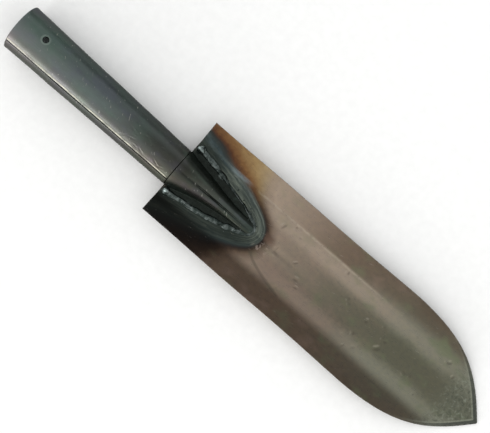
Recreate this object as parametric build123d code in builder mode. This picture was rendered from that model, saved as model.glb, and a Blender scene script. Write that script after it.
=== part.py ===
"""All-steel hand trowel: a sheet blade welded under the pressed tongue of a rolled tube handle.

+X points along the tool to the blade's tip and +Z up, away from the bench that the tool lies on. The origin
is at the bottom centre of the whole tool. The tool lies as it would on a bench: the handle touches it along
its underside, and the blade slopes down from the joint until its tip touches too. All sizes are in
millimetres, and angles are in degrees.
"""

from build123d import *
import math
import os

# Lengths along the tool
HANDLE_LENGTH = 125.5
BLADE_LENGTH = 239.0
TONGUE_LENGTH = 58.7

# Blade: a shallow trough of three facets, with a nose like a pointed arch
BLADE_SHEET = 1.8
BLADE_REAR_HALF_WIDTH = 34.0
BLADE_FULL_HALF_WIDTH = 34.8
NOSE_LENGTH = 82.5
NOSE_HALF_ANGLE = 47.5
NOSE_SHOULDER_PULL = 50.0
NOSE_TIP_PULL = 28.0
FLOOR_HALF_WIDTH = 20.0
SIDE_ANGLE = 20.0
BEND_RADIUS = 12.0

# Handle: a tapered tube rolled from sheet, a little off the blade's centre line, seamed, with a nail hole
HANDLE_SHEET = 1.5
BUTT_RADIUS = 15.25
JOINT_RADIUS = 12.75
BUTT_Y = 0.6
JOINT_Y = -1.6
SEAM_GAP = 0.4
SEAM_ANGLE = 49.0
NAIL_HOLE_RADIUS = 2.05
NAIL_HOLE_FROM_BUTT = 19.0
NAIL_HOLE_ANGLE = 17.0

# Tongue: the upper half of the tube's sheet, run on over the blade as a ridge between two flanges.
# The ridge narrows and falls by powers of the length, and a groove parts its crown into two.
AXIS_ABOVE_SEAT = 4.0
TONGUE_HALF_WIDTH = 16.3
RIDGE_RADIUS = JOINT_RADIUS - 0.3  # the press steps the tongue down from the tube
RIDGE_TIP_HALF_WIDTH = 3.6
RIDGE_TIP_RISE = 0.6
RIDGE_NARROWING = 1.8
RIDGE_FALL = 1.6
CROWN_END_ANGLE = 80.0
GROOVE_DEPTH = 1.9
GROOVE_HALF_WIDTH = 2.0
FOOT_WIDTH = 3.0
CAVITY_SHARE = 0.8
ARCH_STEPS = 5
RIDGE_SECTIONS = 7
CAVITY_SECTIONS = 6

# Weld beads: half width over the tongue's edge, and half height
RIGHT_BEAD = (2.1, 1.6)
LEFT_BEAD = (1.5, 1.4)
TIP_BEAD = (2.6, 1.5)
BEAD_CENTRE_ABOVE_SEAT = 0.6
BEAD_START_RADIUS = 2.3
BEAD_START_SHARE = 0.011
TIP_BEAD_START_SHARE = 0.3

# Places that follow
X_BUTT = -(HANDLE_LENGTH + BLADE_LENGTH) / 2
X_JOINT = X_BUTT + HANDLE_LENGTH
X_TIP = -X_BUTT
SEAT_Z = JOINT_RADIUS - AXIS_ABOVE_SEAT
SLOPE = math.atan((SEAT_Z - BLADE_SHEET) / BLADE_LENGTH)
DOWN_THE_BLADE = Vector(math.cos(SLOPE), 0, -math.sin(SLOPE))
SEAT_PLANE = Plane(
    origin=(X_JOINT, JOINT_Y, SEAT_Z),
    x_dir=DOWN_THE_BLADE,
    z_dir=(math.sin(SLOPE), 0, math.cos(SLOPE)),
)
BUTT_CENTRE = Vector(X_BUTT, BUTT_Y, BUTT_RADIUS)
JOINT_CENTRE = Vector(X_JOINT, JOINT_Y, JOINT_RADIUS)
HANDLE_AXIS = (JOINT_CENTRE - BUTT_CENTRE).normalized()
# The tongue's edge on the seat plane, as a Bezier curve: a parabola with its point forward
TONGUE_EDGE = (0, TONGUE_HALF_WIDTH), (2 * TONGUE_LENGTH, 0), (0, -TONGUE_HALF_WIDTH)
WELL_CLEAR = 2 * BUTT_RADIUS


def across(x, y=0.0, z=0.0):
    """The plane square to the tool's length at x, with its own x along +Y and its own y along +Z."""
    return Plane(origin=(x, y, z), x_dir=(0, 1, 0), z_dir=(1, 0, 0))


def across_tongue(share):
    """The same kind of plane on the blade's upper face, at this share of the tongue's length."""
    ahead = TONGUE_LENGTH * share
    return across(X_JOINT + ahead, JOINT_Y, SEAT_Z - ahead * math.tan(SLOPE))


def from_top(angle):
    """The direction square to the handle's axis at this angle from the top, towards +Y."""
    outward = Vector(0, math.sin(math.radians(angle)), math.cos(math.radians(angle)))
    return (outward - HANDLE_AXIS * outward.dot(HANDLE_AXIS)).normalized()


def arch(half_width, spring, crown, groove=0, end_angle=90):
    """Points over an arch that springs upright at one height, to a crown with a groove along it."""
    points = []
    for step in range(-ARCH_STEPS, ARCH_STEPS + 1):
        angle = math.radians(end_angle) * step / ARCH_STEPS
        y = half_width * math.sin(angle)
        dip = groove * math.exp(-((y / GROOVE_HALF_WIDTH) ** 2))
        points.append((y, spring + (crown - spring) * math.cos(angle) - dip))
    return points


def ridge_sizes(share):
    """The ridge's half width, spring height, crown height and groove depth at this share of the tongue."""
    narrowing = (1 - share) ** RIDGE_NARROWING
    half_width = RIDGE_TIP_HALF_WIDTH + (RIDGE_RADIUS - RIDGE_TIP_HALF_WIDTH) * narrowing
    spring = HANDLE_SHEET + (AXIS_ABOVE_SEAT - HANDLE_SHEET) * (1 - share)
    fall = (1 - share**2) ** RIDGE_FALL
    full_rise = AXIS_ABOVE_SEAT + RIDGE_RADIUS - HANDLE_SHEET
    crown = HANDLE_SHEET + full_rise * fall + RIDGE_TIP_RISE * share
    groove = GROOVE_DEPTH * math.sin(math.pi * share)
    return half_width, spring, crown, groove


# --- blade ---------------------------------------------------------------------------------------
with BuildPart() as blade:
    # the trough's section, run down the slope
    with BuildSketch(across(X_JOINT, z=SEAT_Z)):
        with BuildLine():
            side_reach = BLADE_FULL_HALF_WIDTH - FLOOR_HALF_WIDTH + BEND_RADIUS
            side_rise = side_reach * math.tan(math.radians(SIDE_ANGLE))
            upper_face = FilletPolyline(
                (-FLOOR_HALF_WIDTH - side_reach, side_rise),
                (-FLOOR_HALF_WIDTH, 0),
                (FLOOR_HALF_WIDTH, 0),
                (FLOOR_HALF_WIDTH + side_reach, side_rise),
                radius=BEND_RADIUS,
            )
            offset(upper_face, amount=BLADE_SHEET, side=Side.RIGHT, closed=True)
        make_face()
    extrude(amount=BLADE_LENGTH + WELL_CLEAR, dir=DOWN_THE_BLADE)
    # the plan: square rear corners, sides that spread a little towards the nose, and the nose
    with BuildSketch(Plane.XY):
        with BuildLine():
            for side in (1, -1):
                rear_corner = (X_JOINT, side * BLADE_REAR_HALF_WIDTH)
                shoulder = (X_TIP - NOSE_LENGTH, side * BLADE_FULL_HALF_WIDTH)
                past_shoulder = (shoulder[0] + NOSE_SHOULDER_PULL, shoulder[1])
                pull_angle = math.radians(NOSE_HALF_ANGLE)
                before_tip = (
                    X_TIP - NOSE_TIP_PULL * math.cos(pull_angle),
                    side * NOSE_TIP_PULL * math.sin(pull_angle),
                )
                Polyline((X_JOINT, 0), rear_corner, shoulder)
                Bezier(shoulder, past_shoulder, before_tip, (X_TIP, 0))
        make_face()
    extrude(amount=WELL_CLEAR, both=True, mode=Mode.INTERSECT)
    blade.part.label = "blade"

# --- handle: its tongue, then its tube -----------------------------------------------------------
with BuildPart() as tongue:
    # the ridge and its flanges, on the blade from the joint to the tongue's point
    for section in range(RIDGE_SECTIONS):
        share = section / (RIDGE_SECTIONS - 1)
        half_width, spring, crown, groove = ridge_sizes(share)
        with BuildSketch(across_tongue(share)):
            with BuildLine():
                edge = TONGUE_HALF_WIDTH + FOOT_WIDTH
                foot = half_width + FOOT_WIDTH
                flange = [(y, HANDLE_SHEET) for y in (foot, (foot + edge) / 2, edge)]
                far_flange = [(-y, z) for y, z in reversed(flange)]
                ridge = arch(half_width, spring, crown, groove, CROWN_END_ANGLE)
                upper_side = Spline(*far_flange, *ridge, *flange)
                Polyline(upper_side @ 1, (edge, 0), (-edge, 0), upper_side @ 0)
            make_face()
    loft()
    # its plan
    with BuildSketch(SEAT_PLANE):
        with BuildLine():
            rounded = Bezier(*TONGUE_EDGE)
            behind_joint = -JOINT_RADIUS
            Polyline(
                rounded @ 1,
                (behind_joint, -TONGUE_HALF_WIDTH),
                (behind_joint, TONGUE_HALF_WIDTH),
                rounded @ 0,
            )
        make_face()
    extrude(amount=WELL_CLEAR, both=True, mode=Mode.INTERSECT)
    # the hollow under the ridge, open to the tube
    for section in range(CAVITY_SECTIONS):
        share = CAVITY_SHARE * section / (CAVITY_SECTIONS - 1)
        half_width, spring, crown, groove = ridge_sizes(share)
        with BuildSketch(across_tongue(share)):
            with BuildLine():
                wall = half_width - HANDLE_SHEET
                ceiling = crown - groove - HANDLE_SHEET
                spring_inside = (spring - HANDLE_SHEET) * (1 - share)
                hollow = Spline(*arch(wall, spring_inside, ceiling))
                Polyline(hollow @ 1, (wall, 0), (-wall, 0), hollow @ 0)
            make_face()
    loft(mode=Mode.SUBTRACT)

with BuildPart() as handle:
    for wall, mode in ((0, Mode.ADD), (HANDLE_SHEET, Mode.SUBTRACT)):
        with BuildSketch(across(*BUTT_CENTRE)):
            Circle(BUTT_RADIUS - wall)
        with BuildSketch(across(*JOINT_CENTRE)):
            Circle(JOINT_RADIUS - wall)
        loft(mode=mode)
    # the butt seam, from end to end of the tube
    seam_normal = HANDLE_AXIS.cross(from_top(-SEAM_ANGLE))
    with BuildSketch(Plane(origin=JOINT_CENTRE, x_dir=HANDLE_AXIS, z_dir=seam_normal)):
        with Locations((-HANDLE_LENGTH / 2, BUTT_RADIUS)):
            Rectangle(HANDLE_LENGTH + WELL_CLEAR, BUTT_RADIUS)
    extrude(amount=SEAM_GAP / 2, both=True, mode=Mode.SUBTRACT)
    # the nail hole, through the upper wall only
    hole_centre = BUTT_CENTRE + HANDLE_AXIS * NAIL_HOLE_FROM_BUTT
    with BuildSketch(Plane(origin=hole_centre, x_dir=HANDLE_AXIS, z_dir=from_top(NAIL_HOLE_ANGLE))):
        Circle(NAIL_HOLE_RADIUS)
    extrude(amount=WELL_CLEAR, mode=Mode.SUBTRACT)
    add(tongue.part)
    handle.part.label = "handle"


# --- weld beads ----------------------------------------------------------------------------------
def weld_bead(name, start, end, size, thick_end=None):
    """One bead over the tongue's edge, from start to end as shares of the way round it."""
    half_width, half_height = size
    with BuildPart() as bead:
        with BuildLine(SEAT_PLANE.offset(BEAD_CENTRE_ABOVE_SEAT)):
            path = add(Bezier(*TONGUE_EDGE, mode=Mode.PRIVATE).trim(start, end)).edge()
        with BuildSketch(Plane(origin=path @ 0, x_dir=SEAT_PLANE.z_dir, z_dir=path % 0)):
            Ellipse(half_height, half_width)
        sweep(path=path)
        if thick_end is not None:
            with Locations(path @ thick_end):
                Sphere(BEAD_START_RADIUS)
        add(blade.part, mode=Mode.SUBTRACT)
        add(handle.part, mode=Mode.SUBTRACT)
    bead.part.label = name
    return bead.part


left_weld = weld_bead("left_weld", BEAD_START_SHARE, TIP_BEAD_START_SHARE, LEFT_BEAD, thick_end=0)
right_weld = weld_bead("right_weld", 1 - TIP_BEAD_START_SHARE, 1 - BEAD_START_SHARE, RIGHT_BEAD, thick_end=1)
tip_weld = weld_bead("tip_weld", TIP_BEAD_START_SHARE, 1 - TIP_BEAD_START_SHARE, TIP_BEAD)

os.makedirs("parts", exist_ok=True)
for piece in (blade.part, handle.part, left_weld, right_weld, tip_weld):
    export_step(piece, f"parts/{piece.label}.step")
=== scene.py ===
"""Looks of an all-steel hand trowel: a pointed trough blade welded under the tongue of a rolled tube handle.

+X runs from the handle to the blade's tip, +Z is up. Shapes are worked out in millimetres and made in metres.
"""
import math

import bmesh
import bpy
import numpy as np
from mathutils import Matrix, Vector


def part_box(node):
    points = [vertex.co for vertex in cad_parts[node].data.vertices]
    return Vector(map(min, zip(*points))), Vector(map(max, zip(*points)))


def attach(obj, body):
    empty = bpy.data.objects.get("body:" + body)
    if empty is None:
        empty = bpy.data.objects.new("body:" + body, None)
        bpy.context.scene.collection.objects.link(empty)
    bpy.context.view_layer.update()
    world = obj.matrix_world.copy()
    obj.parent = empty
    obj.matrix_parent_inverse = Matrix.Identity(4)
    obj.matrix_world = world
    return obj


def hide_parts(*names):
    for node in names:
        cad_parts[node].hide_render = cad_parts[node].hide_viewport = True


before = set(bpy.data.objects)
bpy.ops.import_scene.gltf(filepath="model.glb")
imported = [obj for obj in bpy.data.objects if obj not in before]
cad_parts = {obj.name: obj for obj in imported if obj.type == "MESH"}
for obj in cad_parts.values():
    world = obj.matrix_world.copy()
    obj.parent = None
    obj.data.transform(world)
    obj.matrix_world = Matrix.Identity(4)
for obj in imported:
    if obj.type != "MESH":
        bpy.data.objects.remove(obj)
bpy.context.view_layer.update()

MM = 0.001

# Places, from the CAD nodes
X_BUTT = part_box("handle")[0].x / MM
X_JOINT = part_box("blade")[0].x / MM
X_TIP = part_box("blade")[1].x / MM
HANDLE_LENGTH = X_JOINT - X_BUTT
BLADE_LENGTH = X_TIP - X_JOINT

# Blade, as in the CAD source
BLADE_SHEET = 1.8
REAR_HALF_WIDTH = 34.0
FULL_HALF_WIDTH = 34.8
NOSE_LENGTH = 82.5
NOSE_HALF_ANGLE = math.radians(47.5)
NOSE_SHOULDER_PULL = 50.0
NOSE_TIP_PULL = 28.0
FLOOR_HALF_WIDTH = 20.0
SIDE_ANGLE = math.radians(20.0)
EDGE_RADIUS = 0.35
GRIND_LENGTH = 52.0
GRIND_WIDTH = 2.9
GRIND_DEPTH = 1.15

# Handle, as in the CAD source but for the wider seam
SHEET = 1.5
BUTT_RADIUS = 15.25
JOINT_RADIUS = 12.75
BUTT_Y = 0.6
JOINT_Y = -1.6
SEAM_ANGLE = math.radians(-49.0)
SEAM_GAP = 0.6
HOLE_RADIUS = 2.05
HOLE_FROM_BUTT = 19.0
HOLE_ANGLE = math.radians(17.0)
SEAM_EDGE = 0.42
END_EDGE = 0.4
HOLE_EDGE = 0.3
HOLE_PATCH = 4.2
TUBE_STEP = 0.72

# Tongue, as in the CAD source but for a slightly fuller ridge and groove
AXIS_ABOVE_SEAT = 4.0
SEAT_Z = JOINT_RADIUS - AXIS_ABOVE_SEAT
SLOPE = math.atan((SEAT_Z - BLADE_SHEET) / BLADE_LENGTH)
TONGUE_LENGTH = 58.7
TONGUE_HALF_WIDTH = 16.3
RIDGE_RADIUS = 12.65
RIDGE_TIP_HALF_WIDTH = 3.6
GROOVE_DEPTH = 2.0
TONGUE_COLUMNS = 130

# Weld beads: points along and around each
BEAD_COUNT = 340
BEAD_AROUND = 34

# Stage, in metres
PICTURE_TURN = math.radians(40.93)
CAMERA_PLACE = (-0.00711, 0.00268, 0.7877)
CAMERA_LENS = 95.0
KEY_PLACE = (-0.4, -2.2, 0.44)
KEY_SIZE = 0.7
KEY_POWER = 12.0
ROOM_STRENGTH = 1.45
FLOOR_RADIUS = 4.0
FLOOR_DROP = 0.0002


# --- numbers over arrays -------------------------------------------------------------------------
def ease(low, high, x):
    """0 below low, 1 above high, and a smooth rise between."""
    t = np.clip((x - low) / (high - low), 0, 1)
    return t * t * (3 - 2 * t)


def hump(x, centre, width):
    return np.exp(-(((x - centre) / width) ** 2))


def waves(x, y, length, seed, count=8):
    """Smooth random unevenness of about this wavelength, about 1 high."""
    rng = np.random.default_rng(seed)
    total = 0
    for _ in range(count):
        angle, phase = rng.uniform(0, 2 * math.pi, 2)
        k = 2 * math.pi / (length * rng.uniform(0.7, 1.6))
        total = total + np.sin(k * (x * math.cos(angle) + y * math.sin(angle)) + phase)
    return total / math.sqrt(count)


def rounding(distance, radius):
    """How far a surface drops within this distance of a rounded edge."""
    inside = np.clip(radius - distance, 0, radius)
    return radius - np.sqrt(np.maximum(radius**2 - inside**2, 0))


def smooth_max(a, b, blend):
    top = np.maximum(a, b)
    return top + blend * np.log(np.exp((a - top) / blend) + np.exp((b - top) / blend))


def edge_steps(radius):
    """Distances from an edge that follow its rounding."""
    return radius * np.array([0.0, 0.08, 0.3, 0.65, 1.0])


def gouge(u, v, turn, length, width, burr, apart):
    """A long dent at the origin of u and v, about 1 deep, with a raised burr beside it."""
    along, aside = u * math.cos(turn) + v * math.sin(turn), v * math.cos(turn) - u * math.sin(turn)
    return hump(along, 0, length) * (hump(aside, 0, width) - burr * hump(aside, apart * width, width))


def twice(values):
    """The same values for the upper grid and for the lower one."""
    return np.concatenate([values.ravel(), values.ravel()])


def upper_only(values):
    return np.concatenate([values.ravel(), np.zeros(values.size)])


# --- meshes --------------------------------------------------------------------------------------
def sheet_faces(rows, columns, hole=None):
    """Quads of a closed sheet of two grids, the upper one first.

    hole = (row, row, column, column) is left open.
    """
    at = np.arange(rows * columns).reshape(rows, columns)
    under = rows * columns
    keep = np.ones((rows - 1, columns - 1), bool)
    if hole:
        keep[hole[0] : hole[1], hole[2] : hole[3]] = False
    a, b, c, d = at[:-1, :-1][keep], at[1:, :-1][keep], at[1:, 1:][keep], at[:-1, 1:][keep]
    faces = [np.stack([a, b, c, d], 1), np.stack([a, d, c, b], 1) + under]
    for line, flip in ((at[:, 0], 0), (at[:, -1], 1), (at[0, :], 1), (at[-1, :], 0)):
        strip = np.stack([line[:-1], line[:-1] + under, line[1:] + under, line[1:]], 1)
        faces.append(strip[:, ::-1] if flip else strip)
    return np.concatenate(faces)


def ring_faces(rings, size, start):
    """Quads between closed rings of points that follow one another from index start."""
    at = start + np.arange(rings * size).reshape(rings, size)
    turned = np.roll(at, -1, axis=1)
    return np.stack([at[:-1], at[1:], turned[1:], turned[:-1]], -1).reshape(-1, 4)


def make_piece(name, points, faces, material, sharp=35.0, **attributes):
    """A smooth-shaded mesh object from points in millimetres, with named values on its points."""
    mesh = bpy.data.meshes.new(name)
    mesh.from_pydata((np.asarray(points) * MM).tolist(), [], [list(map(int, f)) for f in faces])
    mesh.validate()
    for key, values in attributes.items():
        layer = mesh.attributes.new(key, "FLOAT", "POINT")
        layer.data.foreach_set("value", np.asarray(values, np.float32).ravel())
    piece = bpy.data.objects.new(name, mesh)
    bpy.context.scene.collection.objects.link(piece)
    face_outward(mesh)
    mesh.shade_smooth()
    mesh.set_sharp_from_angle(angle=math.radians(sharp))
    mesh.materials.append(material)
    return piece


def face_outward(mesh):
    work = bmesh.new()
    work.from_mesh(mesh)
    bmesh.ops.recalc_face_normals(work, faces=work.faces)
    work.to_mesh(mesh)
    work.free()


def ride_as(piece, node):
    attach(piece, "root")
    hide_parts(node)


# --- blade ---------------------------------------------------------------------------------------
def blade_rows():
    """Each row's x, half width and outline angle, from the rear edge to just short of the tip."""
    shoulder = X_TIP - NOSE_LENGTH
    straight = np.concatenate([X_JOINT + edge_steps(EDGE_RADIUS), np.arange(X_JOINT + 1, shoulder, 0.8)])
    share = (straight - X_JOINT) / (shoulder - X_JOINT)
    width = REAR_HALF_WIDTH + (FULL_HALF_WIDTH - REAR_HALF_WIDTH) * share
    t = np.linspace(0, 0.993, 120)
    ends = (shoulder, FULL_HALF_WIDTH), (shoulder + NOSE_SHOULDER_PULL, FULL_HALF_WIDTH)
    before_tip = X_TIP - NOSE_TIP_PULL * math.cos(NOSE_HALF_ANGLE), NOSE_TIP_PULL * math.sin(NOSE_HALF_ANGLE)
    control = np.array([*ends, before_tip, (X_TIP, 0)])
    weights = np.stack([(1 - t) ** 3, 3 * t * (1 - t) ** 2, 3 * t**2 * (1 - t), t**3], 1)
    nose = weights @ control
    x = np.concatenate([straight, nose[:, 0]])
    half_width = np.concatenate([width, nose[:, 1]])
    angle = np.arctan(-np.gradient(half_width, x))
    return x, half_width, np.clip(angle, 0, None)


def trough(y, radius):
    """Height of the trough's sides above its floor, and the side's lean, for bends of this radius."""
    start = FLOOR_HALF_WIDTH - radius * math.tan(SIDE_ANGLE / 2)
    reach = radius * math.sin(SIDE_ANGLE)
    into = np.abs(y) - start
    on_arc = np.clip(into, 0, reach)
    height = radius - np.sqrt(radius**2 - on_arc**2) + np.clip(into - reach, 0, None) * math.tan(SIDE_ANGLE)
    return height, np.arcsin(on_arc / radius)


def seat(x):
    return SEAT_Z - (x - X_JOINT) * math.tan(SLOPE)


def blade_unevenness(x, y):
    """Dents and waviness of the used blade, none under the tongue, and the crease in front of it."""
    forward = x - X_JOINT - TONGUE_LENGTH
    crease = -0.5 * hump(y - JOINT_Y * 0.5, 0, 1.3 + 0.03 * np.clip(forward, 0, None))
    crease = crease * ease(-2, 5, forward) * (1 - ease(18, 62, forward))
    free = ease(16, 24, np.abs(y - JOINT_Y)) + ease(4, 22, forward)
    wavy = 0.12 * waves(x, y, 46, 3) + 0.05 * waves(x, y, 15, 4) + 0.012 * waves(x, y, 5, 5)
    wavy = wavy + struck(x, y)
    pinch = 0.25 * hump(x, X_JOINT, 9) * waves(x * 0.2, y, 22, 6)
    return crease + np.clip(free, 0, 1) * (wavy + pinch)


def struck(x, y):
    """Small dents from stones in the front two thirds, and one long scratch curving towards the -Y side."""
    rng = np.random.default_rng(17)
    depth = 0 * x
    for _ in range(34):
        at_x, at_y, turn = rng.uniform(8, 165), rng.uniform(-18, 18), rng.uniform(0, math.pi)
        long, wide = rng.uniform(0.9, 2.8), rng.uniform(0.6, 1.1)
        deep = rng.uniform(0.07, 0.26)
        depth = depth - deep * gouge(x - at_x, y - at_y, turn, long, wide, 0.5, 1.7)
    into = np.clip((x - 8) / 34, 0, 1)
    line = JOINT_Y - 7.5 - 12.5 * np.sqrt(into)
    scratch = ease(8, 12, x) * (1 - ease(36, 42, x)) * hump(y, line, 0.9)
    return depth - 0.22 * scratch


def grind(x, distance):
    """How deep and how wide the ground edge of the nose is, and whether it has reached here."""
    along = ease(X_TIP - GRIND_LENGTH, X_TIP - 8, x)
    width = 0.5 + (GRIND_WIDTH - 0.5) * along
    return GRIND_DEPTH * along * np.clip(1 - distance / width, 0, 1), width, along


def weld_distance(x, y):
    """Each point's distance from the weld as its heat spread, along the sheet's edges and not past them."""
    s, across = x - X_JOINT, np.abs(y - JOINT_Y)
    across = across - 0.5 * np.clip(across - 16, 0, None) ** 2 / 19
    path_s, path_y = weld_path(0, 0.5, 160)[:2]
    near = np.full(x.shape, 1e9)
    for a, b in zip(path_s, path_y / 1.07):
        near = np.minimum(near, np.hypot(s - a, across - b))
    inside = across < tongue_edge(s)
    fast = 1 + 0.85 * ease(40, 62, s)
    near = np.where(near > 7, 7 + (near - 7) * fast, near) / (1 + 0.17 * hump(s, 36, 20))
    return np.where(inside & (s < TONGUE_LENGTH), -near, near)


def blade_grid(x, half_width, angle):
    """The blade's grid of x and y, closer together towards its long edges."""
    widths = np.maximum(grind(x, 0)[1], 0.9) / np.cos(angle)
    widths = np.minimum(widths, half_width * 0.96)
    steps = np.minimum(edge_steps(EDGE_RADIUS)[None, :], widths[:, None] * 0.4)
    strip = np.linspace(0.45, 1, 4)[None, :] * widths[:, None]
    inside = (half_width - widths)[:, None] * np.linspace(-1, 1, 88)[None, 1:-1]
    side = half_width[:, None] - np.concatenate([steps, strip], 1)
    y = np.concatenate([-side, inside, side[:, ::-1]], 1)
    return np.repeat(x[:, None], y.shape[1], 1), y


def make_blade(material):
    x, half_width, angle = blade_rows()
    half_width = half_width + 0.12 * waves(x, 0 * x, 60, 11) * ease(0, 20, X_TIP - x)
    grid_x, y = blade_grid(x, half_width, angle)
    from_side = (half_width[:, None] - np.abs(y)) * np.cos(angle)[:, None]
    distance = np.minimum(from_side, grid_x - X_JOINT)
    forward = ease(X_JOINT + 110, X_TIP - 30, grid_x)
    bend_radius = np.where(y > 0, 5 + 22 * forward, 15 + 14 * forward)
    height, lean = trough(y, bend_radius)
    ground, grind_width, along = grind(grid_x, from_side)
    surface = seat(grid_x) + height + blade_unevenness(grid_x, y)
    upper = surface - ground - rounding(distance, EDGE_RADIUS)
    lower = surface - BLADE_SHEET / np.cos(lean) + rounding(distance, EDGE_RADIUS)
    top = np.stack([grid_x, y, np.maximum(upper, lower + 0.15)], -1)
    bottom = np.stack([grid_x, y, lower], -1)
    piece = make_piece(
        "blade_sheet", np.concatenate([top.reshape(-1, 3), bottom.reshape(-1, 3)]), sheet_faces(*y.shape),
        material, sharp=24.0,
        ground=upper_only(np.where(ground > 0.004, along, 0)),
        rim=upper_only(hump(from_side, grind_width + 0.3, 0.4) * along),
        wear=twice(hump(distance, 0, 0.5)),
        weld=twice(weld_distance(grid_x, y)),
        dent=twice(struck(grid_x, y)),
    )
    ride_as(piece, "blade")


# --- handle --------------------------------------------------------------------------------------
def tube_axis(s):
    """Centre and outer radius of the tube, which lies on the bench, at these distances from the butt."""
    share = s / HANDLE_LENGTH
    radius = BUTT_RADIUS + (JOINT_RADIUS - BUTT_RADIUS) * share
    return X_BUTT + s, BUTT_Y + (JOINT_Y - BUTT_Y) * share, radius, radius


def hole_distance(s, a):
    radius = tube_axis(np.asarray(s, float))[3]
    return np.hypot(s - HOLE_FROM_BUTT, (a - HOLE_ANGLE) * radius)


def nicks(s, a):
    """Gouges struck into the tube near the joint, each with a burr beside it, and a scuffed ring."""
    rng = np.random.default_rng(21)
    depth = 0 * s
    for _ in range(17):
        at_s, at_a = rng.uniform(88, 126), rng.uniform(-0.75, 0.25)
        turn, length, width = rng.uniform(-0.7, 0.9), rng.uniform(0.9, 2.6), rng.uniform(0.22, 0.4)
        depth = depth + 0.3 * gouge(s - at_s, (a - at_a) * JOINT_RADIUS, turn, length, width, 0.7, 1.8)
    ring = np.hypot(s - 90.5, (a + 0.1) * 13.5)
    return depth + 0.1 * hump(ring, 1.6, 0.35)


def tube_point(s, a, outer):
    """Points of the rolled sheet's outer or inner face. a is the angle from the top towards +Y."""
    x, y, z, radius = tube_axis(s)
    from_seam = np.minimum(a - SEAM_ANGLE, SEAM_ANGLE + 2 * math.pi - a) * radius - SEAM_GAP / 2
    from_end = np.minimum(s, HANDLE_LENGTH - s)
    from_hole = hole_distance(s, a) - HOLE_RADIUS
    edge = rounding(from_seam, SEAM_EDGE) + rounding(from_end, END_EDGE) + rounding(from_hole, HOLE_EDGE)
    if outer:
        lip = np.where(a < SEAM_ANGLE + math.pi, 0.24, -0.08) * hump(from_seam, 0.9, 0.7)
        burr = 0.13 * hump(from_hole, 0.55, 0.32)
        dents = 0.07 * waves(s, a * radius, 34, 8) + 0.02 * waves(s, a * radius, 9, 9)
        flare = 0.10 * hump(s, 0, 2.2)
        r = radius - edge + lip + burr + dents * ease(0, 8, s) - nicks(s, a) + flare
    else:
        r = radius - SHEET + edge
    return np.stack([x + 0 * r, y + r * np.sin(a), z + r * np.cos(a)], -1)


def make_tube():
    """The rolled tube's points and faces, with the nail hole through its upper wall."""
    inner_rows = np.arange(0.9, HANDLE_LENGTH - 0.9, TUBE_STEP)
    s = np.concatenate([edge_steps(END_EDGE), inner_rows, HANDLE_LENGTH - edge_steps(END_EDGE)[::-1]])
    gap = SEAM_GAP / 2 / BUTT_RADIUS
    lip = edge_steps(SEAM_EDGE) / BUTT_RADIUS
    around = np.linspace(0.08, 2 * math.pi - 0.08, 160)
    a = SEAM_ANGLE + np.concatenate([gap + lip, around, 2 * math.pi - gap - lip[::-1]])
    grid_s, grid_a = np.meshgrid(s, a, indexing="ij")
    seam_waver = 0.006 * waves(grid_s, 0 * grid_s, 40, 12)
    rows = np.where(np.abs(s - HOLE_FROM_BUTT) < HOLE_PATCH)[0]
    columns = np.where(np.abs(a - HOLE_ANGLE) * BUTT_RADIUS < HOLE_PATCH)[0]
    i0, i1, j0, j1 = rows[0], rows[-1], columns[0], columns[-1]
    faces = [sheet_faces(len(s), len(a), (i0, i1, j0, j1))]
    rim = [(i0, j) for j in range(j0, j1)] + [(i, j1) for i in range(i0, i1)]
    rim += [(i1, j) for j in range(j1, j0, -1)] + [(i, j0) for i in range(i1, i0, -1)]
    rim_s, rim_a = s[[i for i, _ in rim]], a[[j for _, j in rim]]
    theta = np.arctan2((rim_a - HOLE_ANGLE) * BUTT_RADIUS, rim_s - HOLE_FROM_BUTT)
    hole_s = HOLE_FROM_BUTT + HOLE_RADIUS * np.cos(theta)
    hole_a = HOLE_ANGLE + HOLE_RADIUS * np.sin(theta) / tube_axis(hole_s)[3]
    points = [tube_point(grid_s, grid_a + seam_waver, side).reshape(-1, 3) for side in (True, False)]
    first = np.array([i * len(a) + j for i, j in rim])
    shares = np.array([0.25, 0.45, 0.6, 0.7, 0.78, 0.84, 0.9, 0.95, 0.98, 1.0])
    start, size = 2 * len(s) * len(a), len(rim)
    for face, outer in enumerate((True, False)):
        for share in shares:
            ring_s, ring_a = rim_s + (hole_s - rim_s) * share, rim_a + (hole_a - rim_a) * share
            points.append(tube_point(ring_s, ring_a, outer))
        ring_at = start + face * len(shares) * size
        edge = np.stack([first + face * len(s) * len(a), ring_at + np.arange(size)])
        turned = np.roll(edge, -1, axis=1)
        faces.append(np.stack([edge[0], edge[1], turned[1], turned[0]], -1))
        faces.append(ring_faces(len(shares), size, ring_at))
    outer_edge = start + (len(shares) - 1) * size + np.arange(size)
    inner_edge = outer_edge + len(shares) * size
    faces.append(np.stack([outer_edge, inner_edge, np.roll(inner_edge, -1), np.roll(outer_edge, -1)], -1))
    return np.concatenate(points), np.concatenate(faces)


def tongue_edge(s):
    return TONGUE_HALF_WIDTH * np.sqrt(np.clip(1 - s / TONGUE_LENGTH, 0, 1))


def lopsided(y):
    """The tongue's +Y half spreads a little wider than its -Y half."""
    return y * np.where(y > 0, 1.07, 0.95)


def ridge_half_width(share):
    return RIDGE_TIP_HALF_WIDTH + (RIDGE_RADIUS - RIDGE_TIP_HALF_WIDTH) * (1 - share) ** 1.8


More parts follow.
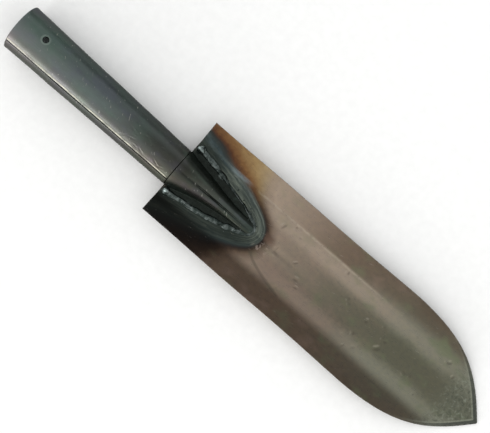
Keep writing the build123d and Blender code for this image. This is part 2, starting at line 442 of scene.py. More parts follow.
def tongue_height(s, y):
    """Height of the tongue's upper face above the blade: a ridge with a groove, between two flanges."""
    share = np.clip(s / TONGUE_LENGTH, 0, 1)
    one_side = 1 + np.where(y > 0, 0.14, -0.10) * ease(0.05, 0.4, share)
    half_width = ridge_half_width(share) * one_side
    spring = SHEET + (AXIS_ABOVE_SEAT - SHEET) * (1 - share)
    crown = SHEET + (AXIS_ABOVE_SEAT + RIDGE_RADIUS - SHEET) * (1 - share**2) ** 1.6 + 0.6 * share
    across = np.clip(np.abs(y) / half_width, 0, 0.999)
    groove = GROOVE_DEPTH * np.sin(math.pi * share) ** 0.8 * np.exp(0.25 - np.hypot((y + 0.3) / 1.05, 0.25))
    arch = spring + (crown - spring) * np.sqrt(1 - across**2) - groove
    arch = arch - 6 * np.clip(np.abs(y) - half_width, 0, None)
    worked = 0.05 * waves(s, y, 12, 14) + 0.025 * waves(s * 0.3, y, 2.4, 15)
    return smooth_max(arch, SHEET + 0 * s, 0.55) + worked * ease(0, 5, s)


def on_seat(s, y, height):
    """Points on the tilted seat plane, y from the tongue's centre line, height square to the plane."""
    x = X_JOINT + s * math.cos(SLOPE) + height * math.sin(SLOPE)
    z = SEAT_Z - s * math.sin(SLOPE) + height * math.cos(SLOPE)
    return np.stack([x + 0 * y, JOINT_Y + y, z + 0 * y], -1)


def make_tongue():
    """The tongue's upper and lower grids, and how far each point is crown, leaning and in the groove."""
    rows = np.concatenate([edge_steps(END_EDGE), np.arange(0.9, 57.6, 0.5), [58.0, 58.4]])
    y = np.zeros((len(rows), TONGUE_COLUMNS))
    for i, s in enumerate(rows):
        fine = lopsided(np.linspace(-1, 1, 700) * (tongue_edge(s) + 0.3))
        length = np.hypot(np.diff(fine), np.diff(tongue_height(s + 0 * fine, fine)))
        walked = np.concatenate([[0], np.cumsum(length)])
        y[i] = np.interp(np.linspace(0, walked[-1], TONGUE_COLUMNS), walked, fine)
    s = np.repeat(rows[:, None], TONGUE_COLUMNS, 1)
    height = tongue_height(s, y)
    upper = on_seat(s, y, height)
    lower = on_seat(s, y, np.maximum(height - SHEET * 1.15, 0.0) - 0.05)
    share = np.clip(s / TONGUE_LENGTH, 0, 1)
    across = y / ridge_half_width(share)
    crown = 1 - np.where(y > 0, ease(0.42, 0.72, across), ease(0.62, 0.88, -across))
    groove = hump(y, -0.3, 0.9) * ease(0.02, 0.25, share) * (1 - ease(0.9, 1, share))
    return upper, lower, crown, np.arcsin(np.clip(across, -1, 1)), groove


def make_handle(material):
    tube, tube_quads = make_tube()
    upper, lower, crown, lean, groove = make_tongue()
    tongue_quads = sheet_faces(*crown.shape) + len(tube)
    points = np.concatenate([tube, upper.reshape(-1, 3), lower.reshape(-1, 3)])
    x, y, z, _ = tube_axis(tube[:, 0] - X_BUTT)
    turned = np.arctan2(tube[:, 1] - y, tube[:, 2] - z)
    on_tube = np.ones(len(tube))
    piece = make_piece(
        "handle_tube", points, np.concatenate([tube_quads, tongue_quads]), material, sharp=50.0,
        crown=np.concatenate([on_tube, twice(crown)]),
        turned=np.concatenate([turned, twice(lean)]),
        groove=np.concatenate([0 * on_tube, twice(groove)]),
    )
    ride_as(piece, "handle")


# --- weld beads ----------------------------------------------------------------------------------
def weld_path(start, end, count):
    """Points, outward directions and lengths along the tongue's edge between two shares of it."""
    t = np.linspace(start, end, count)
    s, y = 4 * t * (1 - t) * TONGUE_LENGTH, lopsided(TONGUE_HALF_WIDTH * (1 - 2 * t))
    ds, dy = np.gradient(s), np.gradient(y)
    size = np.hypot(ds, dy)
    walked = np.concatenate([[0], np.cumsum(np.hypot(np.diff(s), np.diff(y)))])
    return s, y, -dy / size, ds / size, walked


def bead_size(walked, half_width, half_height, seed, blobs, thin):
    """Half width and half height along a bead, with its thick or tapered ends."""
    swell = (1 + 0.12 * waves(walked, 0 * walked, 7, seed)) * (1 - thin * ease(20, 32, walked))
    wide, high = half_width * swell, half_height * (0.9 + 0.1 * swell)
    for run, radius in zip((walked, walked[-1] - walked), blobs):
        if radius:
            ball = np.sqrt(np.clip(radius**2 - (run - radius) ** 2, 0, None))
            at_end, grown = run < radius * 2, ease(0, radius, run)
            wide = np.where(at_end, np.maximum(wide * grown, ball), wide)
            high = np.where(at_end, np.maximum(high * grown, ball * 0.85), high)
        else:
            taper = np.sqrt(ease(-0.05, 1.6, run))
            wide, high = wide * taper, high * taper
    return wide, high


def bead_grain(walked, turn, ripple, seed):
    """How far a bead's skin stands out: ripples across it, crests along it, and roughness."""
    side, upper = np.cos(turn), np.clip(np.sin(turn) + 0.3, 0, 1)
    ripple_length, ripple_height = ripple
    phase = walked / ripple_length + 0.55 * side**2 + 0.25 * waves(walked, 0 * walked, 5, seed + 1)
    ridges = ripple_height * (0.9 - 2 * np.abs(phase - np.floor(phase) - 0.4)) * upper
    drift = 1.1 * waves(walked, 0 * walked, 16, seed + 4)
    crests = 0.13 * np.cos(4 * turn + drift) * upper
    rough = 0.02 * waves(walked, side * 3, 3.6, seed + 2) * upper
    return 1 + ridges + crests + rough


def make_bead(name, ends, size, material, ripple, seed, blobs=(0, 0), spatter=0, thin=0):
    """A rippled bead over the tongue's edge.

    size is its half width and half height, blobs the radii of its thick ends, thin its later narrowing.
    """
    s, y, out_s, out_y, walked = weld_path(*ends, BEAD_COUNT)
    wide, high = bead_size(walked, *size, seed, blobs, thin)
    turn = np.linspace(0, 2 * math.pi, BEAD_AROUND, endpoint=False)[None, :]
    side, up = np.cos(turn), np.sin(turn)
    grow = bead_grain(walked[:, None], turn, ripple, seed)
    wander = 0.25 * waves(walked, 0 * walked, 9, seed + 3)[:, None]
    across = wide[:, None] * side * grow + wander
    height = 0.55 + np.where(up > 0, high[:, None] * up * grow, 0.9 * up)
    points = on_seat(s[:, None] + out_s[:, None] * across, y[:, None] + out_y[:, None] * across, height)
    points = points.reshape(-1, 3)
    faces = [list(f) for f in ring_faces(BEAD_COUNT, BEAD_AROUND, 0)]
    faces += [list(range(BEAD_AROUND)), list(range(len(points) - BEAD_AROUND, len(points)))]
    rng = np.random.default_rng(seed + 9)
    for _ in range(spatter):
        k = rng.integers(0, BEAD_COUNT)
        reach = rng.uniform(1.2, 3.6) * rng.choice([-0.5, 1, 1])
        ball, ball_faces = droplet(
            s[k] + out_s[k] * reach, y[k] + out_y[k] * reach, rng.uniform(0.22, 0.6), reach < 0, len(points)
        )
        points = np.concatenate([points, ball])
        faces += ball_faces
    return make_piece(name, points, faces, material, sharp=60.0)


def droplet(s, y, radius, on_tongue, start):
    """A flattened ball of spatter on the blade or on the tongue."""
    around, rings = 12, 7
    tilt = np.linspace(0.12, math.pi - 0.12, rings)[:, None]
    turn = np.linspace(0, 2 * math.pi, around, endpoint=False)[None, :]
    ds, dy = radius * np.sin(tilt) * np.cos(turn), radius * np.sin(tilt) * np.sin(turn)
    base = tongue_height(np.array(s), np.array(y)) if on_tongue else 0.0
    points = on_seat(s + ds, y + dy, base + 0.15 * radius + 0.7 * radius * np.cos(tilt) + 0 * turn)
    faces = [list(f) for f in ring_faces(rings, around, start)]
    faces += [list(range(start, start + around))]
    faces += [list(range(start + (rings - 1) * around, start + rings * around))]
    return points.reshape(-1, 3), faces


def make_welds(material):
    left = make_bead(
        "left_bead", (0.003, 0.33), (2.3, 1.4), material, ripple=(2.1, 0.05), seed=31,
        blobs=(3.0, 0), spatter=4, thin=0.6,
    )
    right = make_bead(
        "right_bead", (0.67, 0.997), (2.1, 1.35), material, ripple=(2.3, 0.05), seed=51,
        blobs=(0, 2.8), spatter=3,
    )
    tip = make_bead("tip_bead", (0.29, 0.71), (1.9, 0.95), material, ripple=(2.4, 0.04), seed=71, spatter=12)
    for piece, node in ((left, "left_weld"), (right, "right_weld"), (tip, "tip_weld")):
        ride_as(piece, node)


# --- shader nodes as sums ------------------------------------------------------------------------
# Sockets of a Mix node that mixes colours
FACTOR, FIRST_COLOUR, SECOND_COLOUR, MIXED_COLOUR = 0, 6, 7, 2


class Wire:
    """A value in a material's node tree that can be added, scaled and so on."""

    def __init__(self, tree, out):
        self.tree, self.out = tree, out

    def do(self, operation, *others):
        node = self.tree.nodes.new("ShaderNodeMath")
        node.operation = operation
        for slot, value in zip(node.inputs, (self, *others)):
            feed(self.tree, slot, value)
        return Wire(self.tree, node.outputs[0])

    def __add__(self, other):
        return self.do("ADD", other)

    def __sub__(self, other):
        return self.do("SUBTRACT", other)

    def __mul__(self, other):
        return self.do("MULTIPLY", other)

    def __truediv__(self, other):
        return self.do("DIVIDE", other)

    def ease(self, low, high):
        """0 below low and 1 above high, or the other way round if low is above high."""
        node = self.tree.nodes.new("ShaderNodeMapRange")
        node.interpolation_type = "SMOOTHSTEP"
        feed(self.tree, node.inputs["Value"], self)
        span = (low, high, 0, 1) if low < high else (high, low, 1, 0)
        for key, value in zip(("From Min", "From Max", "To Min", "To Max"), span):
            node.inputs[key].default_value = value
        return Wire(self.tree, node.outputs["Result"])

    def ramp(self, *stops):
        """Colours at these values, in order, given as sRGB bytes."""
        low, high = stops[0][0], stops[-1][0]
        node = self.tree.nodes.new("ShaderNodeValToRGB")
        points = node.color_ramp.elements
        while len(points) < len(stops):
            points.new(0.5)
        for point, (value, colour) in zip(points, stops):
            point.position = (value - low) / (high - low)
            point.color = srgb(*colour)
        feed(self.tree, node.inputs["Fac"], (self - low) / (high - low))
        return Wire(self.tree, node.outputs["Color"])

    def mix(self, first, second, blend="MIX"):
        """first where this is 0, second where it is 1."""
        node = self.tree.nodes.new("ShaderNodeMix")
        node.data_type, node.blend_type = "RGBA", blend
        for index, value in ((FACTOR, self), (FIRST_COLOUR, first), (SECOND_COLOUR, second)):
            feed(self.tree, node.inputs[index], value)
        return Wire(self.tree, node.outputs[MIXED_COLOUR])


def feed(tree, slot, value):
    """Link a wire to this socket, or set it to a constant."""
    if isinstance(value, Wire):
        tree.links.new(value.out, slot)
    else:
        slot.default_value = value


def srgb(*levels):
    """A linear colour from sRGB bytes."""
    linear = [(v / 255 / 12.92) if v <= 10 else ((v / 255 + 0.055) / 1.055) ** 2.4 for v in levels]
    return (*linear, 1.0)


class Paint:
    """A material's node tree, with its coordinates in millimetres."""

    def __init__(self, name):
        self.material = bpy.data.materials.new(name)
        self.material.use_nodes = True
        self.tree = self.material.node_tree
        self.shader = self.tree.nodes["Principled BSDF"]
        place = self.tree.nodes.new("ShaderNodeTexCoord")
        split = self.tree.nodes.new("ShaderNodeSeparateXYZ")
        self.tree.links.new(place.outputs["Object"], split.inputs[0])
        self.x, self.y, self.z = (Wire(self.tree, split.outputs[i]) * (1 / MM) for i in range(3))

    def attribute(self, name):
        node = self.tree.nodes.new("ShaderNodeAttribute")
        node.attribute_name = name
        return Wire(self.tree, node.outputs["Fac"])

    def noise(self, x, y, z=0.0, detail=3.0, roughness=0.55, distortion=0.0):
        """Noise from 0 to 1 about 0.5, at one cell for each unit of x, y and z."""
        node = self.tree.nodes.new("ShaderNodeTexNoise")
        join = self.tree.nodes.new("ShaderNodeCombineXYZ")
        for slot, value in zip(join.inputs, (x, y, z)):
            feed(self.tree, slot, value)
        self.tree.links.new(join.outputs[0], node.inputs["Vector"])
        node.inputs["Scale"].default_value = 1.0
        node.inputs["Detail"].default_value = detail
        node.inputs["Roughness"].default_value = roughness
        node.inputs["Distortion"].default_value = distortion
        return Wire(self.tree, node.outputs["Fac"])

    def finish(self, colour, roughness, height, depth, metallic=1.0, coat=0.0):
        """Set the shader. height, from about 0 to 1, is a bump this many millimetres deep."""
        tree, shader = self.tree, self.shader
        feed(tree, shader.inputs["Base Color"], colour)
        feed(tree, shader.inputs["Roughness"], roughness)
        shader.inputs["Metallic"].default_value = metallic
        shader.inputs["Coat Weight"].default_value = coat
        shader.inputs["Coat Roughness"].default_value = 0.22
        bump = tree.nodes.new("ShaderNodeBump")
        bump.inputs["Strength"].default_value = 1.0
        bump.inputs["Distance"].default_value = depth * MM
        feed(tree, bump.inputs["Height"], height)
        tree.links.new(bump.outputs[0], shader.inputs["Normal"])
        return self.material


# --- materials -----------------------------------------------------------------------------------
def heat_tint(x, y, distance, cloud, mottle):
    """Soot and brown by the distance from the weld, with straw colours at the rear of the +Y side."""
    rear = y.ease(10.0, 18.0) * y.ease(31.0, 26.0) * x.ease(X_JOINT + 30.0, X_JOINT + 8.0)
    warmed = distance + (cloud - 0.5) * 3.0 + (mottle - 0.5) * 1.6
    warmed = warmed + y.ease(-14.0, 8.0) * 2.0 - rear * 2.2 - 1.0
    grey = warmed.ramp(
        (0.0, (32, 40, 37)), (3.6, (27, 35, 33)), (6.6, (36, 46, 46)), (8.4, (38, 40, 40)),
        (9.8, (40, 35, 32)), (12.2, (60, 49, 41)), (15.0, (92, 78, 67)), (19.0, (120, 106, 94)),
        (25.0, (138, 124, 111)), (40.0, (134, 121, 109)),
    )
    gold = warmed.ramp(
        (0.0, (32, 40, 37)), (3.6, (27, 35, 33)), (6.6, (38, 49, 50)), (8.2, (42, 40, 38)),
        (9.6, (72, 46, 30)), (11.4, (104, 76, 48)), (13.4, (132, 110, 76)), (16.0, (144, 128, 100)),
        (20.0, (146, 132, 114)), (40.0, (136, 122, 110)),
    )
    golden = y.ease(6.0, 17.0) * x.ease(2.0, -20.0)
    return golden.mix(grey, gold)


def weld_streaks(x, y, distance, mottle, ripple, streak, colour):
    """Grey streaks that follow the weld, lightest at its front, and a blue fringe on the +Y side."""
    front = x.ease(X_JOINT + 14.0, X_JOINT + 34.0) * y.ease(-12.0, 2.0)
    lit = (front * 0.8 + 0.2) * (ripple.ease(0.40, 0.64) * 0.75 + 0.25)
    colour = (streak * lit * 0.78).mix(colour, srgb(106, 114, 106))
    blue = (distance - 7.0).do("ABSOLUTE").ease(1.5, 0.4) * y.ease(4.0, 14.0) * mottle.ease(0.3, 0.7)
    return (blue * 0.28).mix(colour, srgb(74, 90, 102))


def facet_tint_and_painted_shade(x, y, cloud, mottle, bare, forward, colour):
    """Greener steel forward, a painted dark reflection along the middle, a painted highlight on the +Y side,
    and painted shade on the -Y side and on each facet.
    """
    aside = y.do("ABSOLUTE")
    # Greener steel forward; the ramp's darker middle is part of the painted dark reflection
    green = (aside + (cloud - 0.5) * 22.0).ramp(
        (0.0, (82, 88, 73)), (6.0, (86, 92, 77)), (12.0, (107, 111, 98)), (20.0, (109, 113, 101)),
        (30.0, (110, 107, 96)), (36.0, (102, 95, 84)),
    )
    colour = (forward * 0.8).mix(colour, green)
    # Painted reflection: a dark band along the middle of the floor
    dark_reflection_band = (aside + (mottle - 0.5) * 4.0).ease(14.0, 4.0) * x.ease(-4.0, 80.0) * bare
    colour = (dark_reflection_band * 0.7).mix(colour, srgb(82, 81, 69))
    # Painted highlight: a pale band beside the middle on the +Y side
    painted_sheen = (y - 15.5).do("ABSOLUTE").ease(7.0, 1.0) * x.ease(170.0, 50.0) * bare
    colour = (painted_sheen * 0.4).mix(colour, srgb(164, 150, 136))
    # Painted shade: the -Y side of the floor a little darker
    painted_shade_minus_side = y.ease(-3.0, -9.0) * y.ease(-22.0, -18.0) * x.ease(105.0, 70.0) * bare
    colour = painted_shade_minus_side.mix(colour, srgb(234, 231, 232), "MULTIPLY")
    # Painted shade on each side facet, the -Y one darker
    minus_facet_shade = y.ease(-16.0, -23.0) * (forward * -0.16 + 1.0)
    colour = minus_facet_shade.mix(colour, srgb(172, 162, 154), "MULTIPLY")
    plus_facet_shade = x.ease(50.0, 115.0).mix(y.ease(19.6, 21.6), y.ease(16.0, 27.0))
    return (plus_facet_shade * x.ease(-6.0, 62.0)).mix(colour, srgb(184, 178, 172), "MULTIPLY")


def blade_stains(paint, distance, cloud, mottle, bare, forward, colour):
    """Soft reddish and olive patches, and a stain with spatter just in front of the weld."""
    x, y = paint.x, paint.y
    patch = paint.noise(x * 0.055, y * 0.08, 11.0, 2)
    colour = (patch.ease(0.52, 0.72) * bare * x.ease(130.0, 70.0) * 0.2).mix(colour, srgb(136, 114, 104))
    colour = (patch.ease(0.48, 0.28) * bare * (forward * 0.25 + 0.25)).mix(colour, srgb(98, 107, 80))
    ahead = distance.ease(28.0, 17.0) * distance.ease(8.0, 11.0) * x.ease(2.0, 8.0)
    stain = ahead * (y - 1.5 + (cloud - 0.5) * 4.0).do("ABSOLUTE").ease(4.0, 0.8) * mottle.ease(0.28, 0.45)
    colour = (stain * 0.7).mix(colour, srgb(86, 68, 58))
    spatter = ahead * (y + 5.0).do("ABSOLUTE").ease(4.5, 1.5) * mottle.ease(0.52, 0.62)
    return (spatter * 0.45).mix(colour, srgb(166, 152, 144))


def worn_tip(paint, cloud, colour):
    """Grainy steel, scoured by soil, behind the ground edge."""
    grainy = paint.noise(paint.x * 0.42, paint.y * 0.42, 15.0, 4, 0.62, 0.8)
    worn = (paint.x + (cloud - 0.5) * 10.0).ease(X_TIP - 36.0, X_TIP - 20.0)
    colour = (worn * 0.35).mix(colour, srgb(104, 110, 98))
    colour = (worn * grainy.ease(0.50, 0.36) * 0.5).mix(colour, srgb(64, 69, 60))
    return (worn * grainy.ease(0.53, 0.68) * 0.45).mix(colour, srgb(140, 146, 134))


def bend_highlights(x, y, cloud, mottle, ripple, colour):
    """Painted highlights: a pale line along the +Y bend, and a blue glint where it passes the weld."""
    bend = (y - 19.7 + (cloud - 0.5) * 0.8).do("ABSOLUTE")
    # Painted highlight: a pale line along the +Y bend
    line = bend.ease(1.0, 0.2) * x.ease(X_JOINT + 40.0, X_JOINT + 52.0) * x.ease(104.0, 62.0)
    colour = (line * mottle.ease(0.35, 0.6) * 0.2).mix(colour, srgb(186, 178, 162))
    # Painted highlight: a blue glint on the bend beside the weld
    painted_glint = bend.ease(1.9, 0.5) * (x - X_JOINT - 32.0).do("ABSOLUTE").ease(11.0, 2.0) * ripple.ease(0.3, 0.5)
    return (painted_glint * 0.4).mix(colour, srgb(132, 150, 156))


def struck_and_ground(paint, fine, mottle, colour):
    """Paint for the dents, the ground edge of the nose with its bright rim, and the worn outline."""
    dent = paint.attribute("dent") + (fine - 0.5) * 0.02
    colour = (dent.ease(-0.03, -0.16) * 0.4).mix(colour, srgb(70, 64, 56))
    colour = (dent.ease(0.02, 0.08) * 0.22).mix(colour, srgb(176, 168, 154))
    ground, wear, rim = (paint.attribute(name) for name in ("ground", "wear", "rim"))
    grinding = paint.noise(paint.x * 2.4, paint.y * 0.5, 4.0, 3, 0.7)
    colour = (ground * 0.9).mix(colour, grinding.ramp((0.3, (40, 43, 40)), (0.7, (68, 72, 66))))
    colour = (rim * grinding.ease(0.3, 0.55) * 0.6).mix(colour, srgb(146, 150, 136))
    return (wear * mottle.ease(0.4, 0.7) * 0.35).mix(colour, srgb(150, 146, 138))


def blade_steel():
    paint = Paint("blade_steel")
    x, y = paint.x, paint.y
    distance = paint.attribute("weld")
    cloud = paint.noise(x * 0.05, y * 0.07, paint.z * 0.05, 4, 0.6)
    mottle = paint.noise(x * 0.32, y * 0.38, 3.0, 4, 0.62, 0.3)
    fine = paint.noise(x * 2.2, y * 2.6, 9.0, 4, 0.7)
    brushed = paint.noise(x * 0.03, y * 1.5, 5.0, 4, 0.7)
    scored = paint.noise(x * 0.16 + y * 0.05, y * 4.0 - x * 0.9, 7.0, 2, 0.5).ease(0.70, 0.78)
    ripple = paint.noise(distance * 0.95 + (mottle - 0.5) * 1.2, x * 0.05, y.do("SIGN"), 4, 0.62)
    streak = distance.ease(9.5, 7.0)
    bare = distance.ease(11.0, 20.0)
    forward = (x + (cloud - 0.5) * 60.0).ease(38.0, 118.0)
    colour = heat_tint(x, y, distance, cloud, mottle)
    colour = weld_streaks(x, y, distance, mottle, ripple, streak, colour)
    colour = facet_tint_and_painted_shade(x, y, cloud, mottle, bare, forward, colour)
    colour = (mottle.ease(0.32, 0.72) * 0.6).mix(colour, srgb(206, 202, 194), "SOFT_LIGHT")
    colour = blade_stains(paint, distance, cloud, mottle, bare, forward, colour)
    colour = worn_tip(paint, cloud, colour)
    colour = (brushed.ease(0.3, 0.75) * 0.35).mix(colour, srgb(206, 202, 196), "SOFT_LIGHT")
    colour = bend_highlights(x, y, cloud, mottle, ripple, colour)
    pit = fine.ease(0.25, 0.2)
    colour = (fine.ease(0.75, 0.80) * 0.55).mix(colour, srgb(206, 202, 192))
    colour = (pit * 0.3).mix(colour, srgb(80, 72, 64))
    colour = (scored * 0.4).mix(colour, srgb(190, 184, 174))
    colour = struck_and_ground(paint, fine, mottle, colour)
    roughness = mottle * 0.16 + brushed * 0.08 + fine * 0.08 + streak * 0.03 + 0.14
    height = brushed * 0.5 + mottle * 0.6 + fine * 0.3 - pit * 0.5 - scored * 0.6 + ripple * streak * 2.4
    paint.shader.inputs["Specular Tint"].default_value = srgb(196, 194, 190)
    return paint.finish(colour, roughness, height, 0.035, coat=0.14)


def handle_tones_and_shade(paint, turned, cloud):
    """Bluish mill scale that is browner towards the joint, with painted shade on each flank of the tube and
    along its top near the joint.
    """
    x, y, z = paint.x, paint.y, paint.z
    along = x + (cloud - 0.5) * 50.0
    colour = along.ramp(
        (-190.0, (104, 105, 108)), (-160.0, (93, 101, 98)), (-120.0, (88, 97, 95)),
        (-90.0, (82, 87, 85)), (-62.0, (78, 79, 74)), (-45.0, (76, 77, 72)),
        (-25.0, (74, 78, 73)), (0.0, (64, 74, 70)),
    )
    hue = paint.noise(x * 0.06, y * 0.1, z * 0.1 + 13.0, 2)
    colour = (hue.ease(0.5, 0.68) * 0.3).mix(colour, srgb(92, 90, 106))
    colour = (hue.ease(0.5, 0.32) * 0.3).mix(colour, srgb(84, 104, 92))
    # Painted shade: the -Y flank a little darker and warmer
    minus_flank_shade = turned.ease(-0.15, -0.6) * turned.ease(-2.6, -2.0)
    colour = minus_flank_shade.mix(colour, srgb(242, 228, 222), "MULTIPLY")
    # Painted shade: the +Y flank darker
    plus_flank_shade = (turned + (cloud - 0.5) * 0.25).ease(0.55, 0.85) * turned.ease(2.4, 1.7)
    colour = plus_flank_shade.mix(colour, srgb(194, 198, 196), "MULTIPLY")
    # Painted shade along the tube's top near the joint
    top_shade_near_joint = (turned - 0.08).do("ABSOLUTE").ease(0.5, 0.1) * x.ease(-104.0, -72.0) * x.ease(-30.0, -54.0)
    colour = (top_shade_near_joint * 0.75).mix(colour, srgb(176, 174, 166), "MULTIPLY")
    greened = (x + 164.0).do("ABSOLUTE").ease(26.0, 6.0) * (turned - 0.5).do("ABSOLUTE").ease(0.6, 0.1)
    colour = (greened * cloud.ease(0.3, 0.6) * 0.5).mix(colour, srgb(82, 106, 92))
    pressed = x.ease(X_JOINT - 2.0, X_JOINT + 6.0)
    return pressed.mix(colour, srgb(218, 221, 216), "MULTIPLY")


def seam_lip_highlights(paint, turned, cloud, drawn, colour):
    """Painted highlights: a faint line on the tongue's ridge, and a broken bright line along the lip of the
    tube's seam.
    """
    x = paint.x
    # lip is a painted highlight line along the seam's lip, running on along the tongue's -Y ridge
    lip = (turned + 0.735 + (cloud - 0.5) * 0.02).do("ABSOLUTE").ease(0.05, 0.012)
    ridge_highlight = lip * x.ease(X_JOINT + 20.0, X_JOINT + 30.0) * x.ease(X_JOINT + 55.0, X_JOINT + 48.0)
    colour = (ridge_highlight * 0.35).mix(colour, srgb(128, 132, 124))
    broken = paint.noise(x * 0.07, 3.0, 0.0, 2).ease(0.40, 0.56) * 0.8 + 0.2
    lip = lip * x.ease(X_JOINT, X_JOINT - 3.0) * broken
    return (lip * drawn.ease(0.3, 0.5) * 0.42).mix(colour, srgb(192, 188, 170))


def hole_ring_highlight(x, turned, colour):
    """A painted highlight: a pale ring round the nail hole."""
    aside, along = (turned - HOLE_ANGLE) * BUTT_RADIUS, x - X_BUTT - HOLE_FROM_BUTT
    away = (aside.do("POWER", 2.0) + along.do("POWER", 2.0)).do("SQRT")
    # Painted highlight on the hole's chamfer
    ring_highlight = (away - HOLE_RADIUS - 0.7).do("ABSOLUTE").ease(0.8, 0.2)
    return (ring_highlight * 0.32).mix(colour, srgb(134, 142, 136))


def handle_steel():
    paint = Paint("handle_steel")
    x, y = paint.x, paint.y
    crown, turned, groove = (paint.attribute(name) for name in ("crown", "turned", "groove"))
    cloud = paint.noise(x * 0.04, y * 0.08, paint.z * 0.08, 4, 0.6)
    mottle = paint.noise(x * 0.3, y * 0.4, paint.z * 0.4, 5, 0.65, 0.4)
    fine = paint.noise(x * 2.0, y * 2.4, paint.z * 2.4, 4, 0.7)
    drawn = paint.noise(x * 0.03, y * 1.8, paint.z * 1.8, 4, 0.7)
    scratch = paint.noise(x * 1.1 + y * 0.7, y * 0.22 - x * 0.16, paint.z * 0.2, 2, 0.5).ease(0.69, 0.74)
    colour = handle_tones_and_shade(paint, turned, cloud)
    # The tongue's flanges beside its ridge: dark weld scale, deepened with painted shade where the ridge
    # blocks the light
    valley = x.ease(X_JOINT - 1.0, X_JOINT + 3.0) * (crown * -1.0 + 1.0)
    valley_scale_and_shade = mottle.ramp((0.35, (29, 34, 30)), (0.55, (35, 40, 36)), (0.75, (46, 55, 50)))
    colour = valley.mix(colour, valley_scale_and_shade)
    # Painted shade darkening the groove along the ridge
    colour = (groove * 0.45).mix(colour, srgb(40, 42, 39))
    colour = seam_lip_highlights(paint, turned, cloud, drawn, colour)
    colour = hole_ring_highlight(x, turned, colour)
    colour = (mottle.ease(0.35, 0.75) * 0.5).mix(colour, srgb(198, 200, 200), "SOFT_LIGHT")
    colour = (drawn.ease(0.3, 0.75) * 0.5).mix(colour, srgb(200, 202, 202), "SOFT_LIGHT")
    pit = fine.ease(0.27, 0.22)
    colour = (pit * 0.5).mix(colour, srgb(62, 62, 58))
    colour = (scratch * (valley * -1.0 + 1.0) * 0.5).mix(colour, srgb(168, 166, 158))
    roughness = mottle * 0.16 + drawn * 0.10 + fine * 0.08 + valley * 0.24 + 0.20
    height = drawn * 0.5 + mottle * 0.5 + fine * 0.3 - pit * 0.7 - scratch * 0.4 + drawn * valley * 2.0
    paint.shader.inputs["Specular Tint"].default_value = srgb(184, 184, 182)
    return paint.finish(colour, roughness, height, 0.035, coat=0.12)


def weld_metal():
    paint = Paint("weld_metal")
    x, y, z = paint.x, paint.y, paint.z
    mottle = paint.noise(x * 0.34, y * 0.34, z * 0.34, 3, 0.55, 0.4)
    fine = paint.noise(x * 3.0, y * 3.0, z * 3.0, 4, 0.7)
    colour = mottle.ramp(
        (0.32, (34, 42, 39)), (0.44, (50, 58, 55)), (0.54, (70, 77, 75)), (0.68, (98, 105, 103)),
    )
    colour = (fine.ease(0.32, 0.24) * 0.2).mix(colour, srgb(30, 36, 34))
    plus = y.ease(0.0, 6.0) * x.ease(X_JOINT + 26.0, X_JOINT + 18.0) * mottle.ease(0.38, 0.55)
    colour = (plus * 0.5).mix(colour, srgb(112, 122, 118))
    # Painted highlight: the thick rear ends of the beads painted bright and shiny
    blob_highlight = x.ease(X_JOINT + 6.0, X_JOINT + 2.0) * mottle.ease(0.4, 0.6)
    colour = (blob_highlight * 0.7).mix(colour, srgb(168, 182, 180))
    roughness = mottle * 0.2 + fine * 0.06 + 0.25
    return paint.finish(colour, roughness, fine * 0.12 + mottle, 0.018, coat=0.12)


def floor_paint():
    paint = Paint("pale_floor")
    grain = paint.noise(paint.x * 0.2, paint.y * 0.2, 0.0, 3)
    colour = grain.ramp((0.3, (244, 244, 243)), (0.7, (248, 248, 247)))
    return paint.finish(colour, grain * 0.1 + 0.75, grain, 0.02, metallic=0.0)


# --- stage ---------------------------------------------------------------------------------------
def make_floor():
    bpy.ops.mesh.primitive_circle_add(
        vertices=96, radius=FLOOR_RADIUS, fill_type="NGON", location=(0, 0, -FLOOR_DROP)
    )
    floor = bpy.context.object
    floor.name = "pale_floor"
    floor.data.materials.append(floor_paint())


def make_lamp(name, place, target, size, power):
    lamp = bpy.data.lights.new(name, "AREA")
    lamp.shape, lamp.size, lamp.energy = "DISK", size, power
    holder = bpy.data.objects.new(name, lamp)
    holder.location = place
    holder.rotation_euler = (Vector(target) - Vector(place)).to_track_quat("-Z", "Y").to_euler()
    bpy.context.scene.collection.objects.link(holder)


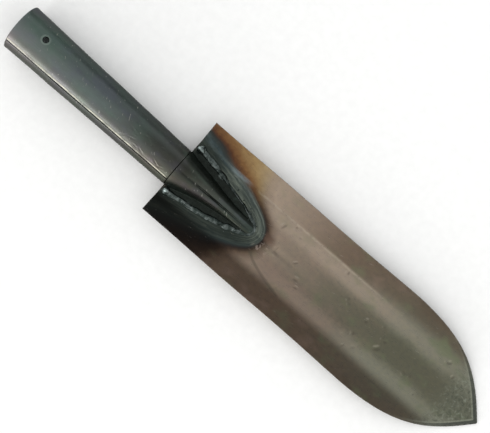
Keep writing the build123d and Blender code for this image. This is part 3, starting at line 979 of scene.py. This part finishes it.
def make_world():
    """A pale room, brighter on the -Y side and at both ends, with two soft grey lobes over the +Y side."""
    world = bpy.data.worlds.new("studio")
    world.use_nodes = True
    bpy.context.scene.world = world
    tree = world.node_tree
    background = tree.nodes["Background"]
    place = tree.nodes.new("ShaderNodeTexCoord")
    split = tree.nodes.new("ShaderNodeSeparateXYZ")
    tree.links.new(place.outputs["Generated"], split.inputs[0])
    side = Wire(tree, split.outputs[1])
    light = side.ramp(
        (-1.0, (252, 252, 251)), (-0.87, (250, 250, 249)), (-0.64, (232, 232, 231)), (-0.34, (220, 220, 219)),
        (0.0, (212, 212, 211)), (0.34, (206, 207, 207)), (0.87, (204, 205, 206)), (1.0, (196, 198, 200)),
    )
    above = Wire(tree, split.outputs[2])
    for y, z, near, far, shade in ((0.66, 0.75, 0.985, 0.86, 172), (1.0, 0.0, 0.99, 0.88, 110)):
        lobe = (side * y + above * z).ease(far, near)
        light = lobe.mix(light, srgb(shade, shade + 2, shade + 4))
    ends = Wire(tree, split.outputs[0]).do("ABSOLUTE").ease(0.45, 0.9)
    light = ends.mix(light, srgb(255, 255, 255), "SCREEN")
    path = Wire(tree, tree.nodes.new("ShaderNodeLightPath").outputs["Is Camera Ray"])
    feed(tree, background.inputs["Color"], path.mix(light, srgb(240, 240, 240)))
    background.inputs["Strength"].default_value = ROOM_STRENGTH


def make_camera():
    """Straight above the tool, with the tool lying across the picture from upper left to lower right."""
    data = bpy.data.cameras.new("camera")
    data.lens, data.sensor_width, data.clip_end = CAMERA_LENS, 36.0, 20.0
    camera = bpy.data.objects.new("camera", data)
    right = Vector((math.cos(PICTURE_TURN), math.sin(PICTURE_TURN), 0))
    up = Vector((-math.sin(PICTURE_TURN), math.cos(PICTURE_TURN), 0))
    camera.matrix_world = Matrix((right, up, Vector((0, 0, 1)))).transposed().to_4x4()
    camera.location = CAMERA_PLACE
    bpy.context.scene.collection.objects.link(camera)
    bpy.context.scene.camera = camera


make_camera()
make_world()
make_lamp("key", KEY_PLACE, (0, 0, 0), KEY_SIZE, KEY_POWER)
make_floor()
make_blade(blade_steel())
make_handle(handle_steel())
make_welds(weld_metal())
bpy.context.scene.view_settings.view_transform = "Standard"
